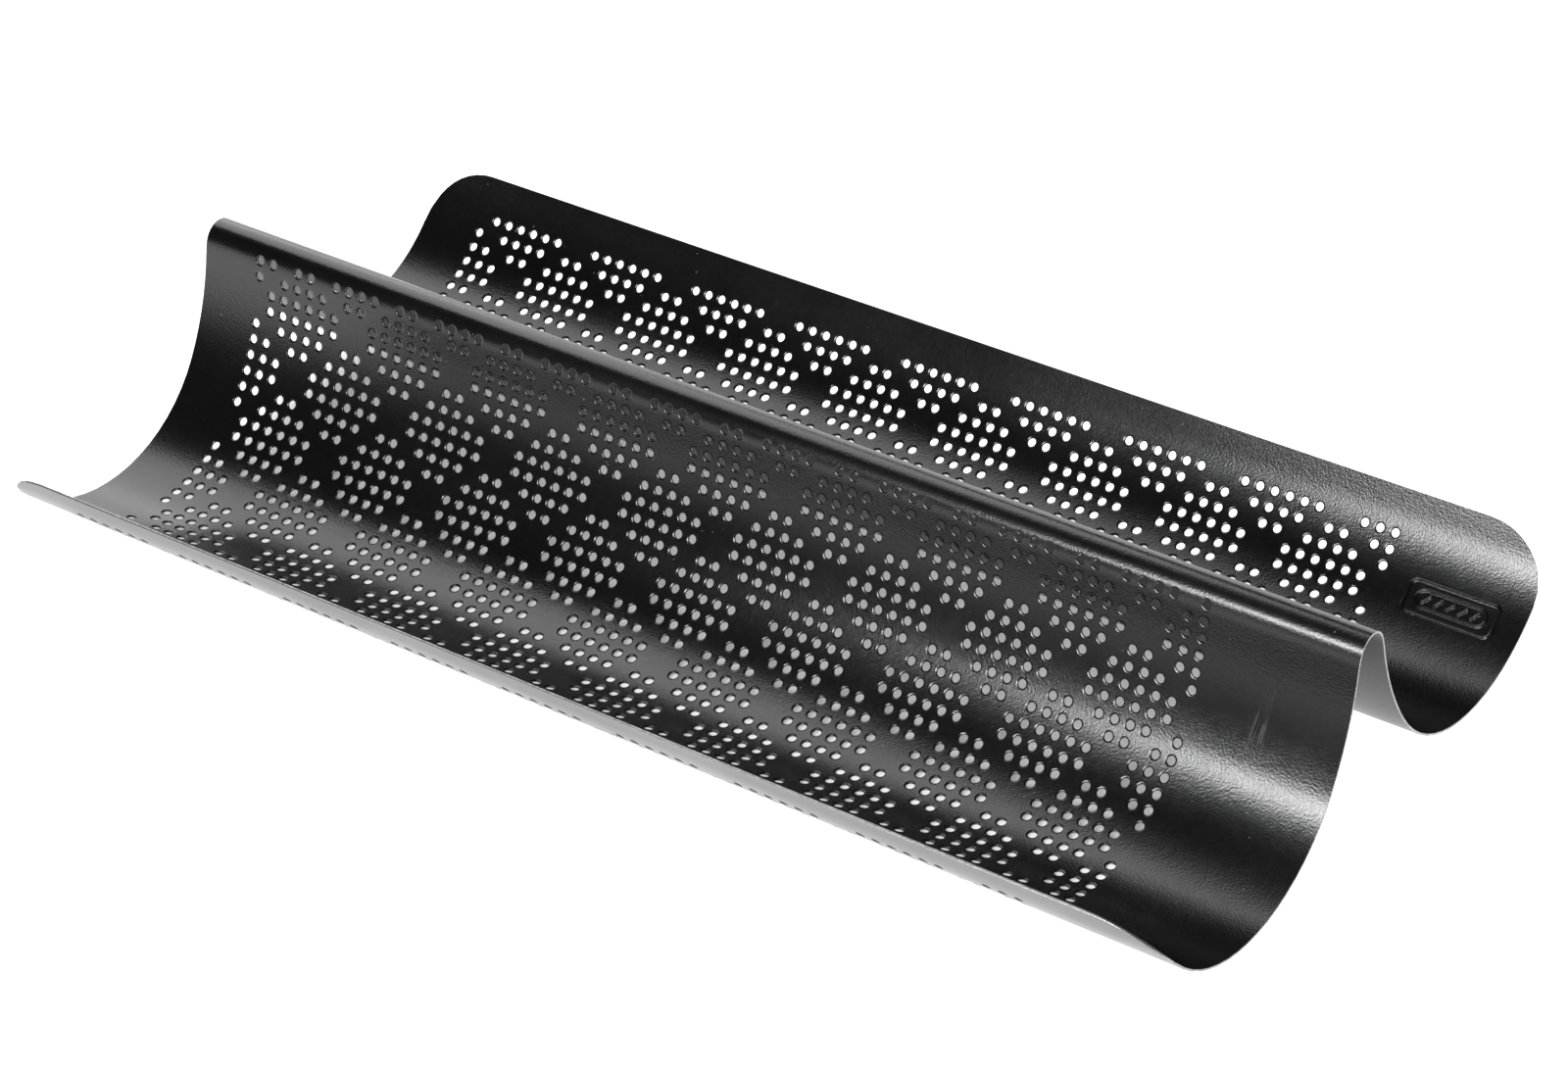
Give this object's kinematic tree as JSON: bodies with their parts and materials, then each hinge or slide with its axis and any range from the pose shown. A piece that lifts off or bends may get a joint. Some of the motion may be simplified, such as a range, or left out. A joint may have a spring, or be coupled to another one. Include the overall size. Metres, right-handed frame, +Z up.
{
  "type": "baguette tray",
  "caption": "Perforated steel baguette tray formed from one sheet: two long round troughs side by side with a narrow rounded ridge between them.",
  "frame": {"origin": "on the surface that the tray stands on, under the middle of the ridge, halfway between the two ends", "axes": "+X along the troughs towards the end with the wider plain margin, +Y across from one trough to the other, +Z up"},
  "size_m": [0.4038, 0.2102, 0.0623],
  "materials": {
    "nonstick_sheet": "semi-gloss black non-stick coating with a fine orange-peel texture on sheet steel"
  },
  "bodies": {
    "root": {"tray_sheet": "nonstick_sheet"}
  },
  "joints": []
}
